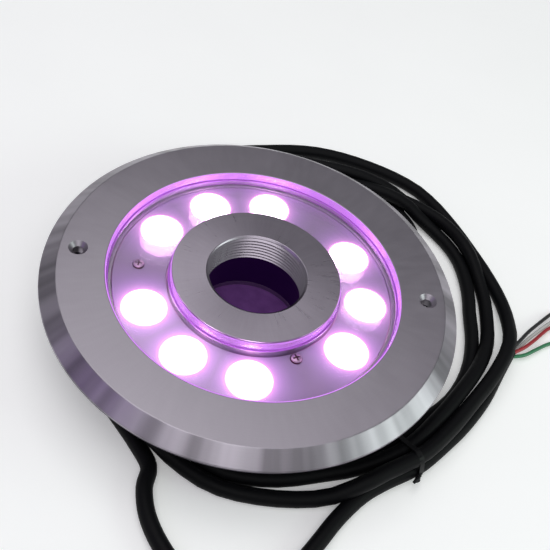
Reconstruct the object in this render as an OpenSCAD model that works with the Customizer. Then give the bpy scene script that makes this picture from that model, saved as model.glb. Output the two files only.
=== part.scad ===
// Ring-shaped underwater fountain light: a stainless lamp around a threaded nozzle sleeve.
// Frame: origin at the centre of the base plate's underside, +Z up along the nozzle bore,
// +X through the right-hand mounting hole. All sizes are in millimetres.

/* [Face ring] */
// Outer diameter of the face ring
ring_od = 200; // [190:1:220]
// Diameter where the flat top meets the bevel
ring_flat_d = 184.8; // [180:0.2:188]
// Diameter of the window opening
window_d = 141.4; // [140:0.2:143]
// Height of the face ring's top above the base
ring_top = 40; // [39:0.5:44]
// Drop of the bevelled rim below the top
bevel_drop = 5.66; // [4:0.01:6]
// Distance between the two mounting holes
mount_spacing = 168; // [164:1:176]
// Diameter of a mounting hole
mount_hole_d = 5; // [4:0.5:5.5]
// Diameter of a mounting hole's countersink
mount_sink_d = 9; // [8:0.5:10]

/* [Nozzle sleeve] */
// Outer diameter of the sleeve's top face
sleeve_face_d = 80.6; // [78:0.2:81]
// How far the sleeve's face stands above the face ring
sleeve_proud = 1; // [0.5:0.5:2]
// Minor diameter of the nozzle thread, M48 x 2
thread_minor_d = 45.8; // [45:0.1:46]
// Major diameter of the nozzle thread
thread_major_d = 48; // [47.5:0.1:49]
// Length of the threaded wall
thread_length = 13; // [10:0.5:14]
// Diameter of the plain passage under the thread
passage_d = 55; // [52:1:56]

/* [Window] */
// Thickness of the glass
glass_t = 4; // [3:0.5:5]
// Thickness of the glass gaskets
gasket_t = 0.6; // [0.5:0.1:1]

/* [Lenses] */
// Radius of the circle that the lenses stand on
lens_pitch_r = 54.8; // [54:0.1:55.2]
// Diameter of a lens holder's rim
holder_d = 21.6; // [21:0.1:21.8]
// Angle between two lenses of one group of three
lens_step = 33; // [33:0.5:36]
// Turn of the lens plate from the mounting holes, in degrees
plate_turn = -2; // [-3:1:0]

/* [Housing] */
// Outer diameter of the housing
shell_od = 141; // [140:0.5:141]
// Wall thickness of the housing
shell_wall = 2.8; // [2:0.1:3]
// Thickness of the base plate
base_t = 3; // [2.5:0.5:3]
// Direction of the cable gland, in degrees from +X
gland_angle = 35; // [32:1:38]
// Height of the gland's axis above the base
gland_z = 13; // [12.5:0.5:14]

/* [Cable] */
// Diameter of the cable
cable_d = 7.5; // [7:0.1:7.6]
// Radius of the coil's inner edge
coil_inner_r = 104; // [104:1:106]
// Radius of the coil's outer edge
coil_outer_r = 120; // [119:1:120]

/* [Hidden] */
$fn = 96;
eps = 0.01;

// Heights, from the glass downwards
sleeve_top = ring_top + sleeve_proud;
glass_bottom = ring_top - glass_t;
ledge_z = glass_bottom - gasket_t;
ring_bottom = 33;
plate_top = 32.2;
plate_t = 1.5;
shell_flange_z = 29.5;
board_top = 20.2;
board_bottom = 18.6;
pad_bottom = 18.1;
spreader_bottom = 14.6;
driver_z = 6;
driver_top = driver_z + 1.6;

// Radii, from the outside inwards
ring_r = ring_od / 2;
window_r = window_d / 2;
inner_wall_r = window_r - 1.5;
shell_r = shell_od / 2;
shell_in_r = shell_r - shell_wall;
shell_flange_r = 79.5;
foot_flange_r = 60;
sleeve_r = sleeve_face_d / 2;
sleeve_ledge_r = sleeve_r + 1.5;
sleeve_neck_r = 31;
sleeve_foot_r = 38;
passage_r = passage_d / 2;
minor_r = thread_minor_d / 2;
relief_r = 24.6;
thread_bottom = ring_top - thread_length - 0.3;
lip_z = ring_top - 18.5;
sink_gap = 0.5;

// Fasteners: hole circles, directions and thread radii
ring_screw_r = 76.5;
base_screw_r = 64.5;
sleeve_screw_r = 34.5;
post_r = 56;
spacer_r = 50;
m3_r = 1.5;
m3_hole_r = 1.6;
ring_screw_angles = [for (k = [0:5]) 15 + 60 * k];
base_screw_angles = [for (k = [0:5]) 60 * k];
sleeve_screw_angles = [for (k = [0:3]) 45 + 90 * k];
post_angles = [5, 125, 245];
spacer_angles = [90, 210, 330];
// Each lens plate screw is [direction, radius]
plate_screws = [[60 + plate_turn, 45.5], [180 + plate_turn, 56], [300 + plate_turn, 45.5]];

// Lenses stand in three groups of three, 120 degrees apart
lens_angles = [for (g = [0:2]) for (k = [-1:1]) plate_turn + 120 * g + lens_step * k];
holder_r = holder_d / 2;
lens_r = holder_r - 0.6;
lens_base_z = 23.8;

// Cable: the coil lies round the housing, off its centre
cable_r = cable_d / 2;
coil_x = 20;
coil_y = 26;
coil_h = 15;
tube_sides = 10;
core_sides = 8;
core_r = 1;
gland_tip = 97;
gland_dir = [cos(gland_angle), sin(gland_angle)];
lead_start = [gland_dir.x * 68, gland_dir.y * 68, gland_z];
lead_exit = [gland_dir.x * gland_tip, gland_dir.y * gland_tip, gland_z];
lead_route = [
    lead_start, lead_exit, [84, 59, 12.6], [88, 65, 11.2], [91, 72, 9], [92, 80, 6.6],
    [91, 88, 4.6], [88, 95, 3.75], [83, 102, 3.75], [76, 108, 3.75], [66, 115, 3.75],
    [51, 121.5, 3.75], [34, 125.5, 3.75]
];
loop_route = [
    [-62, -53, 3.75], [-52, -66, 3.75], [-43, -77, 3.75], [-36.5, -87, 3.75], [-37, -97, 3.75],
    [-34, -109, 3.75], [-27, -121, 3.75], [-17, -132, 3.75], [-6, -139, 3.75], [6, -141, 3.75],
    [17, -136, 3.75], [27, -127, 3.75], [37, -114, 3.75], [47, -100, 3.75], [58, -88, 3.75],
    [69, -80, 3.75], [80, -73.5, 3.75], [88, -67.5, 3.75], [99.5, -56, 3.75], [110, -44.5, 3.75],
    [122, -28, 3.75], [132.5, -9, 3.75], [139.5, 3.5, 3.75]
];
core_routes = [
    [[138.4, 4, 4.9], [146, 11, 5.6], [154, 20.5, 5], [166, 33, 3], [175, 42, 1.2]],
    [[140.6, 3, 4.9], [149, 8.5, 5], [156.5, 15.5, 4.2], [166, 25.5, 2.6], [177, 34, 1.2]],
    [[140.6, 3, 2.5], [149.5, 5.5, 2.6], [157, 10.5, 2.2], [164, 15.5, 1.6], [176, 22, 1.2]],
    [[138.4, 4, 2.5], [147, 10, 3], [155.5, 18.5, 3], [167, 29.5, 2], [178, 39, 1.2]]
];
core_colours = ["black", "red", "green", "white"];
inner_core_r = 0.8;
tie_angle = -57;

// ---------- helpers ----------

// A flat ring from radius a to radius b, between heights z0 and z1
module ring(a, b, z0, z1) {
    difference() {
        translate([0, 0, z0]) cylinder(r = b, h = z1 - z0);
        translate([0, 0, z0 - 1]) cylinder(r = a, h = z1 - z0 + 2);
    }
}

// Places its children on a circle of radius r, once for each direction
module around(r, angles) {
    for (a = angles) rotate(a) translate([r, 0, 0]) children();
}

// A round rod or hole between heights z0 and z1
module rod(r, z0, z1) {
    translate([0, 0, z0]) cylinder(r = r, h = z1 - z0, $fn = 32);
}

// A pan head screw: its head on height z, its shank pointing down
module pan_screw(z, head_r, head_h, shank) {
    difference() {
        union() {
            rod(head_r, z, z + head_h);
            rod(m3_r - 0.05, z - shank, z + 0.1);
        }
        for (a = [0, 90]) rotate(a) translate([-1.4, -0.35, z + head_h - 0.9]) cube([2.8, 0.7, 1]);
    }
}

// A countersunk screw with its flat head facing down, flush with z = 0
module sunk_screw(length) {
    difference() {
        union() {
            cylinder(r1 = 2.8, r2 = m3_r, h = 1.6, $fn = 32);
            rod(m3_r - 0.05, 1.5, length);
        }
        for (a = [0, 90]) rotate(a) translate([-1.4, -0.35, -0.1]) cube([2.8, 0.7, 1]);
    }
}

// The hole that a countersunk screw sits in
module sink_hole(depth) {
    translate([0, 0, -eps]) cylinder(r1 = 3, r2 = m3_hole_r, h = 1.7, $fn = 32);
    rod(m3_hole_r, 1, depth);
}

// Moves its children to the gland's axis, with +Z pointing outwards from the lamp's centre
module on_gland_axis() {
    translate([0, 0, gland_z]) rotate(gland_angle) rotate([0, 90, 0]) children();
}

// A point on a smooth curve through p1 and p2, at t from 0 to 1, with p0 and p3 beyond them
function curve_point(p0, p1, p2, p3, t) =
    0.5 * (2 * p1 + (p2 - p0) * t + (2 * p0 - 5 * p1 + 4 * p2 - p3) * t * t
           + (3 * p1 - p0 - 3 * p2 + p3) * t * t * t);

// The route with a given number of steps between its points
function smooth_route(pts, steps) = [
    for (i = [0:len(pts) - 2]) for (s = [0:steps - 1])
        curve_point(pts[max(i - 1, 0)], pts[i], pts[i + 1], pts[min(i + 2, len(pts) - 1)], s / steps),
    pts[len(pts) - 1]
];

function unit(v) = v / norm(v);

// The direction of a path at point i
function heading(p, i) = unit(p[min(i + 1, len(p) - 1)] - p[max(i - 1, 0)]);

// The corners of a tube's ring at point i
function tube_ring(p, i, r, sides) =
    let (t = heading(p, i), s = unit(cross(t, [0, 0, 1])), u = cross(s, t))
    [for (k = [0:sides - 1]) p[i] + r * (cos(360 * k / sides) * s + sin(360 * k / sides) * u)];

// A tube of radius r along a path
module tube(path, r, sides) {
    count = len(path);
    points = [for (i = [0:count - 1]) each tube_ring(path, i, r, sides)];
    walls = [
        for (i = [0:count - 2]) for (k = [0:sides - 1])
            let (a = i * sides + k, b = i * sides + (k + 1) % sides)
            [a, b, b + sides, a + sides]
    ];
    first = [for (k = [0:sides - 1]) sides - 1 - k];
    last = [for (k = [0:sides - 1]) (count - 1) * sides + k];
    polyhedron(points = points, faces = concat(walls, [first, last]), convexity = 6);
}

// ---------- outside of the lamp ----------

module face_ring() {
    color("silver") difference() {
        rotate_extrude() polygon([
            [window_r, ring_top], [ring_flat_d / 2, ring_top], [ring_r, ring_top - bevel_drop],
            [ring_r, ring_bottom], [inner_wall_r, ring_bottom], [inner_wall_r, ledge_z],
            [window_r, ledge_z]
        ]);
        around(mount_spacing / 2, [0, 180]) {
            rod(mount_hole_d / 2, ring_bottom - 1, ring_top + 1);
            translate([0, 0, ring_top - (mount_sink_d - mount_hole_d) / 2])
                cylinder(d1 = mount_hole_d, d2 = mount_sink_d + 0.02,
                         h = (mount_sink_d - mount_hole_d) / 2 + 0.01, $fn = 32);
        }
        around(ring_screw_r, ring_screw_angles) rod(m3_hole_r, ring_bottom - 1, ring_bottom + 4.2);
    }
}

module glass_window() {
    inner = sleeve_r + sink_gap;
    outer = window_r - sink_gap;
    color("lightcyan", 0.35) rotate_extrude() polygon([
        [inner, glass_bottom], [outer, glass_bottom], [outer, ring_top - 0.4],
        [outer - 0.4, ring_top], [inner + 0.4, ring_top], [inner, ring_top - 0.4]
    ]);
}

module outer_glass_gasket() {
    color("black") ring(inner_wall_r, window_r, ledge_z, glass_bottom);
}

module inner_glass_gasket() {
    color("black") ring(sleeve_r, sleeve_ledge_r, ledge_z, glass_bottom);
}

module window_sealant() {
    color("lavender") ring(sleeve_r, sleeve_r + sink_gap, glass_bottom, ring_top - 0.4);
    color("lavender") ring(window_r - sink_gap, window_r, glass_bottom, ring_top - 0.4);
}

module nozzle_sleeve() {
    chamfer = (thread_major_d - thread_minor_d) / 2 + 0.3;
    color("silver") difference() {
        rotate_extrude() polygon([
            [minor_r + chamfer, sleeve_top], [sleeve_r - 0.3, sleeve_top],
            [sleeve_r, sleeve_top - 0.3], [sleeve_r, ledge_z], [sleeve_ledge_r, ledge_z],
            [sleeve_ledge_r, shell_flange_z], [sleeve_neck_r, shell_flange_z - 3],
            [sleeve_neck_r, base_t + 5], [sleeve_foot_r, base_t + 5], [sleeve_foot_r, base_t],
            [passage_r, base_t], [passage_r, lip_z - 0.6], [relief_r, lip_z],
            [relief_r, thread_bottom], [minor_r, thread_bottom], [minor_r, sleeve_top - chamfer]
        ]);
        around(sleeve_screw_r, sleeve_screw_angles) rod(m3_hole_r, 0, base_t + 4.2);
        ring(28.6, 30.4, base_t - 1, base_t + 1);
    }
}

module housing_shell() {
    color("gray") difference() {
        union() {
            ring(shell_in_r, shell_r, base_t, ring_bottom);
            ring(shell_r - 1, shell_flange_r, shell_flange_z, ring_bottom);
            ring(foot_flange_r, shell_r - 1, base_t, base_t + 4);
            on_gland_axis() translate([0, 0, shell_in_r + 0.8]) cylinder(r = 10.5, h = 8);
        }
        ring(foot_flange_r - 1, foot_flange_r + eps, 0, 10);
        ring(71, 73, ring_bottom - 1.5, ring_bottom + 1);
        around(ring_screw_r, ring_screw_angles) rod(m3_hole_r, shell_flange_z - 1, ring_bottom + 1);
        around(base_screw_r, base_screw_angles) rod(m3_hole_r, 0, base_t + 3.2);
        on_gland_axis() translate([0, 0, shell_in_r - 6]) cylinder(r = 5.6, h = 10);
        on_gland_axis() translate([0, 0, shell_in_r + 2]) cylinder(r = 8, h = 20);
    }
}

module housing_o_ring() {
    color("black") ring(71.1, 72.9, ring_bottom - 1.5, ring_bottom);
}

module ring_screws() {
    color("silver") around(ring_screw_r, ring_screw_angles)
        translate([0, 0, shell_flange_z]) mirror([0, 0, 1]) pan_screw(0, 2.75, 2, 7.4);
}

module base_plate() {
    color("gray") difference() {
        ring(passage_r, shell_r, 0, base_t);
        around(base_screw_r, base_screw_angles) sink_hole(base_t + 1);
        around(sleeve_screw_r, sleeve_screw_angles) sink_hole(base_t + 1);
        around(post_r, post_angles) sink_hole(base_t + 1);
        around(spacer_r, spacer_angles) rod(m3_hole_r, base_t - 1.5, base_t + 1);
        ring(67.2, 68.8, base_t - 1, base_t + 1);
    }
}

module base_o_ring() {
    color("black") ring(67.3, 68.7, base_t - 1, base_t);
}

module base_screws() {
    color("silver") around(base_screw_r, base_screw_angles) sunk_screw(base_t + 3);
}

module sleeve_o_ring() {
    color("black") ring(28.7, 30.3, base_t, base_t + 1);
}

module sleeve_screws() {
    color("silver") around(sleeve_screw_r, sleeve_screw_angles) sunk_screw(base_t + 4);
}

// ---------- optics ----------

module lens_plate() {
    color("silver") difference() {
        ring(sleeve_ledge_r + 0.4, shell_in_r - 0.4, plate_top - plate_t, plate_top);
        around(lens_pitch_r, lens_angles) rod(holder_r + 0.15, plate_top - 3, plate_top + 1);
        for (s = plate_screws) rotate(s[0]) translate([s[1], 0, 0])
            rod(m3_hole_r, plate_top - 3, plate_top + 1);
    }
}

module lens_plate_screws() {
    color("silver") for (s = plate_screws) rotate(s[0]) translate([s[1], 0, 0])
        pan_screw(plate_top, 2.85, 1.6, 6.5);
}

module lens_plate_posts() {
    color("goldenrod") for (s = plate_screws) rotate(s[0]) translate([s[1], 0, 0]) difference() {
        translate([0, 0, pad_bottom]) cylinder(r = 2.9, h = plate_top - plate_t - pad_bottom, $fn = 6);
        rod(m3_r, plate_top - plate_t - 6, plate_top);
    }
}

// A collimating lens, widening from the pocket over its LED to its clear top face
module lens(index) {
    color("white") rotate(lens_angles[index - 1]) translate([lens_pitch_r, 0, 0])
        rotate_extrude() polygon([
            [0, lens_base_z + 3.4], [3.2, lens_base_z + 2.6], [3.2, lens_base_z],
            [4.9, lens_base_z], [8.2, lens_base_z + 3.6], [lens_r, plate_top - 1.2],
            [lens_r, plate_top], [lens_r - 0.6, plate_top + 0.2], [0, plate_top + 0.3]
        ]);
}

module lens_holders() {
    color("whitesmoke") around(lens_pitch_r, lens_angles) rotate_extrude() polygon([
        [lens_r, plate_top], [holder_r, plate_top], [holder_r, plate_top - 2],
        [9.4, lens_base_z + 3.4], [6.6, lens_base_z - 0.9], [6.6, board_top], [5.3, board_top],
        [5.3, lens_base_z], [8.4, lens_base_z + 3.4], [lens_r, plate_top - 1.4]
    ]);
}

// An LED: a square ceramic base with a clear dome
module led(index) {
    color("lightyellow") rotate(lens_angles[index - 1]) translate([lens_pitch_r, 0, 0]) {
        translate([-3.4, -3.4, board_top]) cube([6.8, 6.8, 1.4]);
        intersection() {
            translate([0, 0, board_top + 1.3]) sphere(r = 2.7, $fn = 32);
            rod(4, board_top + 1.3, board_top + 8);
        }
    }
}

// ---------- electronics ----------

// Holes that a board leaves for the posts, the wires and the cable's entry
module board_holes(z0, z1) {
    for (s = plate_screws) rotate(s[0]) translate([s[1], 0, 0]) rod(3.3, z0 - 1, z1 + 1);
    rotate(90) translate([42, 0, 0]) rod(4, z0 - 1, z1 + 1);
}

module led_board() {
    color("white") difference() {
        ring(36, shell_in_r - 0.4, board_bottom, board_top);
        board_holes(board_bottom, board_top);
    }
}

module thermal_pad() {
    color("lightblue") difference() {
        ring(36.5, shell_in_r - 0.8, pad_bottom, board_bottom);
        board_holes(pad_bottom, board_bottom);
    }
}

module heat_spreader() {
    color("silver") difference() {
        ring(36, shell_in_r - 0.3, spreader_bottom, pad_bottom);
        rotate(90) translate([42, 0, 0]) rod(4, spreader_bottom - 1, pad_bottom + 1);
        around(post_r, post_angles) {
            rod(m3_hole_r, spreader_bottom - 1, pad_bottom + 1);
            translate([0, 0, pad_bottom - 1.7])
                cylinder(r1 = m3_hole_r, r2 = 3.1, h = 1.8, $fn = 32);
        }
        on_gland_axis() translate([0, 0, 60]) cylinder(r = 6, h = 12);
    }
}

module spreader_posts() {
    color("goldenrod") around(post_r, post_angles) difference() {
        translate([0, 0, base_t]) cylinder(r = 3, h = spreader_bottom - base_t, $fn = 6);
        rod(m3_r, base_t - 1, spreader_bottom + 1);
    }
}

module spreader_screws() {
    color("silver") around(post_r, post_angles) {
        sunk_screw(base_t + 3.5);
        translate([0, 0, pad_bottom]) mirror([0, 0, 1]) sunk_screw(7.5);
    }
}

module driver_board() {
    color("darkgreen") difference() {
        ring(40.5, 59, driver_z, driver_top);
        around(post_r, post_angles) rod(3.6, driver_z - 1, driver_top + 1);
        around(spacer_r, spacer_angles) rod(m3_hole_r, driver_z - 1, driver_top + 1);
    }
}

module driver_spacers() {
    color("goldenrod") around(spacer_r, spacer_angles) difference() {
        translate([0, 0, base_t]) cylinder(r = 3, h = driver_z - base_t, $fn = 6);
        rod(m3_r, base_t - 1, driver_z + 1);
    }
}

module driver_screws() {
    color("silver") around(spacer_r, spacer_angles) pan_screw(driver_top, 2.75, 1.6, 5.5);
}

// Three shielded chokes, one for each colour
module driver_inductors() {
    color("dimgray") around(spacer_r, [150, 180, 270]) translate([-4, -4, driver_top]) cube([8, 8, 4]);
}

module driver_capacitors() {
    color("slategray") around(spacer_r, [62, 72, 110, 227, 237]) rod(3.15, driver_top, driver_top + 4.4);
}

module driver_chips() {
    color("black") around(spacer_r, [165, 285, 350]) translate([-2, -2.5, driver_top]) cube([4, 5, 1.6]);
}

module wire_terminal() {
    color("green") rotate(gland_angle) translate([44, -8, driver_top]) difference() {
        cube([8, 16, 4.4]);
        for (k = [0:3]) translate([7, 2 + 4 * k, 1.8]) rotate([0, -90, 0]) translate([0, 0, -2])
            cylinder(r = 1.1, h = 6, $fn = 16);
    }
}

// Short cores from the gland to the terminal block, in the order in which they lie side by side
module inner_cores() {
    heights = [1.2, -1.2, -1.2, 1.2];
    wire_z = driver_top + 1.8;
    for (k = [0:3]) {
        side = 4 * k - 6;
        route = [
            [50.5, side, wire_z], [54, side, wire_z], [61, 0.53 * side, wire_z + 1 + 0.3 * heights[k]],
            [68, sign(side) * 1.2, gland_z + heights[k]]
        ];
        color(core_colours[k]) rotate(gland_angle) tube(smooth_route(route, 3), inner_core_r, core_sides);
    }
}

// The harness that climbs from the driver board to the LED board
module led_wires() {
    color("ivory") rotate(90) translate([42, 0, 0])
        around(2, [for (k = [0:5]) 60 * k]) rod(0.7, driver_top, board_top + 0.8);
}

// ---------- cable gland ----------

module gland_body() {
    color("dimgray") on_gland_axis() difference() {
        union() {
            translate([0, 0, shell_in_r + 2]) cylinder(r = 7.9, h = 8);
            translate([0, 0, 77.5]) cylinder(r = 10.9, h = 4.5, $fn = 6);
            translate([0, 0, 82]) cylinder(r = 8, h = 7);
        }
        translate([0, 0, 60]) cylinder(r = 4, h = 40);
        translate([0, 0, 83]) cylinder(r = 6.3, h = 10);
    }
}

module gland_o_ring() {
    color("black") on_gland_axis() ring(7.95, 10, 76.5, 77.5);
}

module gland_seal() {
    color("black") on_gland_axis() ring(cable_r, 6.2, 83, 90);
}

module gland_nut() {
    color("dimgray") on_gland_axis() difference() {
        union() {
            translate([0, 0, 82.5]) cylinder(r = 10.9, h = 6, $fn = 6);
            translate([0, 0, 88.5]) cylinder(r1 = 9.2, r2 = 8.4, h = 4);
            translate([0, 0, 92.5]) cylinder(r1 = 8.4, r2 = 5, h = gland_tip - 92.5);
        }
        translate([0, 0, 80]) cylinder(r = 8.05, h = 9.2);
        translate([0, 0, 85]) cylinder(r = 6.4, h = 5.2);
        translate([0, 0, 85]) cylinder(r = 4, h = 20);
    }
}

// ---------- cable ----------

module cable_lead() {
    color("black") tube(smooth_route(lead_route, 2), cable_r, tube_sides);
}

module cable_coil() {
    color("black") translate([coil_x, coil_y, 0]) rotate_extrude() polygon([
        [coil_inner_r, 2], [coil_inner_r + 2, 0], [coil_outer_r - 2, 0], [coil_outer_r, 2],
        [coil_outer_r, coil_h - 3], [coil_outer_r - 3, coil_h], [coil_inner_r + 3, coil_h],
        [coil_inner_r, coil_h - 3]
    ]);
}

module cable_loop() {
    color("black") tube(smooth_route(loop_route, 2), cable_r, tube_sides);
}

module cable_cores() {
    for (k = [0:3]) color(core_colours[k]) tube(smooth_route(core_routes[k], 4), core_r, core_sides);
}

// A strap over the coil and the free strand beside it
module coil_tie() {
    low = coil_inner_r - 1.2;
    high = coil_outer_r + 1.4;
    color("black") translate([coil_x, coil_y, 0]) rotate(tie_angle) difference() {
        translate([low, -2.2, 0]) cube([high - low, 4.4, coil_h + 1.1]);
        translate([low + 1, -3, -1]) cube([high - low - 2, 6, coil_h + 1.1]);
    }
}

face_ring();
glass_window();
outer_glass_gasket();
inner_glass_gasket();
window_sealant();
nozzle_sleeve();
housing_shell();
housing_o_ring();
ring_screws();
base_plate();
base_o_ring();
base_screws();
sleeve_o_ring();
sleeve_screws();
lens_plate();
lens_plate_screws();
lens_plate_posts();
lens(1);  // lens_1
lens(2);  // lens_2
lens(3);  // lens_3
lens(4);  // lens_4
lens(5);  // lens_5
lens(6);  // lens_6
lens(7);  // lens_7
lens(8);  // lens_8
lens(9);  // lens_9
lens_holders();
led(1);  // led_1
led(2);  // led_2
led(3);  // led_3
led(4);  // led_4
led(5);  // led_5
led(6);  // led_6
led(7);  // led_7
led(8);  // led_8
led(9);  // led_9
led_board();
thermal_pad();
heat_spreader();
spreader_posts();
spreader_screws();
driver_board();
driver_spacers();
driver_screws();
driver_inductors();
driver_capacitors();
driver_chips();
wire_terminal();
inner_cores();
led_wires();
gland_body();
gland_o_ring();
gland_seal();
gland_nut();
cable_lead();
cable_coil();
cable_loop();
cable_cores();
coil_tie();
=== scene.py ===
"""Ring-shaped underwater pond light, lit in pink-white, with its cable coiled round it.

Sizes are in millimetres where a name or a field says nothing else, and MM turns them into
metres as a mesh is finished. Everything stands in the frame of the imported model: the origin is
the centre of the base plate's underside, +Z up along the nozzle bore.
"""
import logging
import math
from dataclasses import dataclass, field
from enum import Enum
from typing import Any, Iterable, Sequence

import bmesh
import bpy
from mathutils import Matrix, Quaternion, Vector


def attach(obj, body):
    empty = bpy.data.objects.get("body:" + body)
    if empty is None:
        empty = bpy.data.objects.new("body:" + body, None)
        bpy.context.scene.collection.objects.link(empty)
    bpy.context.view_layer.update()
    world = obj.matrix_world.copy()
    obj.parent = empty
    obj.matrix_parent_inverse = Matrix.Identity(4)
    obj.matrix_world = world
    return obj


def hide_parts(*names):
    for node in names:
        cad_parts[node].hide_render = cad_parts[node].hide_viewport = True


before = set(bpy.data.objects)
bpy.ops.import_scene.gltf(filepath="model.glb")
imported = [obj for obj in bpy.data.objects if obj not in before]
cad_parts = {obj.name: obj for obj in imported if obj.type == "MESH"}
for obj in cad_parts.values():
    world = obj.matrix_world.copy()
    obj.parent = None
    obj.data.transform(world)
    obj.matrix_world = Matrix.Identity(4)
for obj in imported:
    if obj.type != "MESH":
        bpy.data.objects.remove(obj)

LOG = logging.getLogger("pond_light")
MM = 0.001
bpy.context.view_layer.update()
Point = Sequence[float]
Colour = tuple[float, float, float]
RING_SCREWS = [15 + 60 * k for k in range(6)]
BASE_SCREWS = [60 * k for k in range(6)]
SLEEVE_SCREWS = [45 + 90 * k for k in range(4)]
SPREADER_POSTS = (5, 125, 245)


# ---------- shader maths ----------


class Link:
    """An output of a shader node, on which Python's operators add Math nodes."""

    def __init__(self, shader: "Shader", socket: bpy.types.NodeSocket) -> None:
        """Keeps the socket and the shader that it belongs to."""
        self.shader = shader
        self.socket = socket

    def __getitem__(self, output: str) -> "Link":
        """Another output of the same node, by its name."""
        return Link(self.shader, self.socket.node.outputs[output])

    def maths(self, operation: str, *values: Any) -> "Link":
        """A Math node on these values.

        Args:
            operation: The node's operation.
            values: Links or numbers, in the order of the node's inputs.

        Returns:
            The node's result.
        """
        return self.shader.node("ShaderNodeMath", {"operation": operation}, dict(enumerate(values)))

    def __add__(self, other: Any) -> "Link":
        """self + other."""
        return self.maths("ADD", self, other)

    def __radd__(self, other: Any) -> "Link":
        """other + self."""
        return self.maths("ADD", other, self)

    def __sub__(self, other: Any) -> "Link":
        """self - other."""
        return self.maths("SUBTRACT", self, other)

    def __rsub__(self, other: Any) -> "Link":
        """other - self."""
        return self.maths("SUBTRACT", other, self)

    def __mul__(self, other: Any) -> "Link":
        """self * other."""
        return self.maths("MULTIPLY", self, other)

    def __rmul__(self, other: Any) -> "Link":
        """other * self."""
        return self.maths("MULTIPLY", other, self)

    def __truediv__(self, other: Any) -> "Link":
        """self / other."""
        return self.maths("DIVIDE", self, other)

    def __rtruediv__(self, other: Any) -> "Link":
        """other / self."""
        return self.maths("DIVIDE", other, self)

    def __pow__(self, other: Any) -> "Link":
        """self ** other."""
        return self.maths("POWER", self, other)

    def least(self, other: Any) -> "Link":
        """The smaller of self and other."""
        return self.maths("MINIMUM", self, other)

    def most(self, other: Any) -> "Link":
        """The larger of self and other."""
        return self.maths("MAXIMUM", self, other)

    def exp(self) -> "Link":
        """e to the power of self."""
        return self.maths("EXPONENT", self)

    def step(self, low: float, high: float) -> "Link":
        """A smooth step from 0 at low to 1 at high."""
        return self.shader.node(
            "ShaderNodeMapRange",
            {"interpolation_type": "SMOOTHSTEP"},
            {"Value": self, "From Min": low, "From Max": high},
        )


class Shader:
    """A material's node tree, with a Principled shader and the way to add what feeds it."""

    def __init__(self, name: str) -> None:
        """Starts an empty material of that name."""
        self.material = bpy.data.materials.new(name)
        self.material.use_nodes = True
        self.tree = self.material.node_tree
        self.tree.nodes.clear()

    def node(self, kind: str, settings: dict[str, Any], inputs: dict[Any, Any]) -> Link:
        """Adds one node.

        Args:
            kind: The node's type.
            settings: Its own settings, and "stops" for the stops of a colour ramp.
            inputs: Values or links for its sockets, by name or by number.

        Returns:
            The node's first output.
        """
        node = self.tree.nodes.new(kind)
        for key, value in settings.items():
            if key == "stops":
                ramp = node.color_ramp.elements
                while len(ramp) < len(value):
                    ramp.new(0.5)
                for element, (place, colour) in zip(ramp, value):
                    element.position = place
                    element.color = (*colour, 1)
            else:
                setattr(node, key, value)
        for key, value in inputs.items():
            if isinstance(value, Link):
                self.tree.links.new(value.socket, node.inputs[key])
            elif isinstance(value, tuple) and node.inputs[key].type == "RGBA":
                node.inputs[key].default_value = (*value, 1)
            else:
                node.inputs[key].default_value = value
        return Link(self, node.outputs[0]) if node.outputs else None

    def place(self) -> Link:
        """Where a point is in the lamp's own frame, in metres."""
        return self.node("ShaderNodeTexCoord", {}, {})["Object"]

    def noise(self, where: Link, scale: float, detail: float = 3, rough: float = 0.55) -> Link:
        """A noise value around 0.5 that varies over where, at that scale."""
        return self.node(
            "ShaderNodeTexNoise", {}, {"Vector": where, "Scale": scale, "Detail": detail, "Roughness": rough}
        )

    def vector(self, x: Any, y: Any, z: Any) -> Link:
        """A vector of three values."""
        return self.node("ShaderNodeCombineXYZ", {}, {0: x, 1: y, 2: z})

    def split(self, where: Link) -> tuple[Link, Link, Link]:
        """The three values of a vector."""
        parts = self.node("ShaderNodeSeparateXYZ", {}, {0: where})
        return parts["X"], parts["Y"], parts["Z"]

    def blend(self, mask: Any, dark: Any, light: Any) -> Link:
        """The colour dark where the mask is 0 and light where it is 1."""
        node = self.node("ShaderNodeMix", {"data_type": "RGBA"}, {0: mask, 6: dark, 7: light})
        return Link(self, node.socket.node.outputs[2])

    def scaled(self, colour: Any, amount: Link) -> Link:
        """A colour times an amount."""
        return self.node("ShaderNodeVectorMath", {"operation": "SCALE"}, {0: colour, "Scale": amount})

    def bump(self, height: Link, depth: float) -> Link:
        """A normal for a relief of that depth, in millimetres."""
        return self.node("ShaderNodeBump", {}, {"Height": height, "Distance": depth * MM, "Strength": 1.0})

    def principled(self, **inputs: Any) -> Link:
        """A Principled shader with these inputs, whose names have _ for each space."""
        named = {key.replace("_", " "): value for key, value in inputs.items()}
        return self.node("ShaderNodeBsdfPrincipled", {}, named)

    def done(self, surface: Link) -> bpy.types.Material:
        """Ends the material with that surface."""
        self.node("ShaderNodeOutputMaterial", {}, {"Surface": surface})
        return self.material


# ---------- finishes ----------


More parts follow.
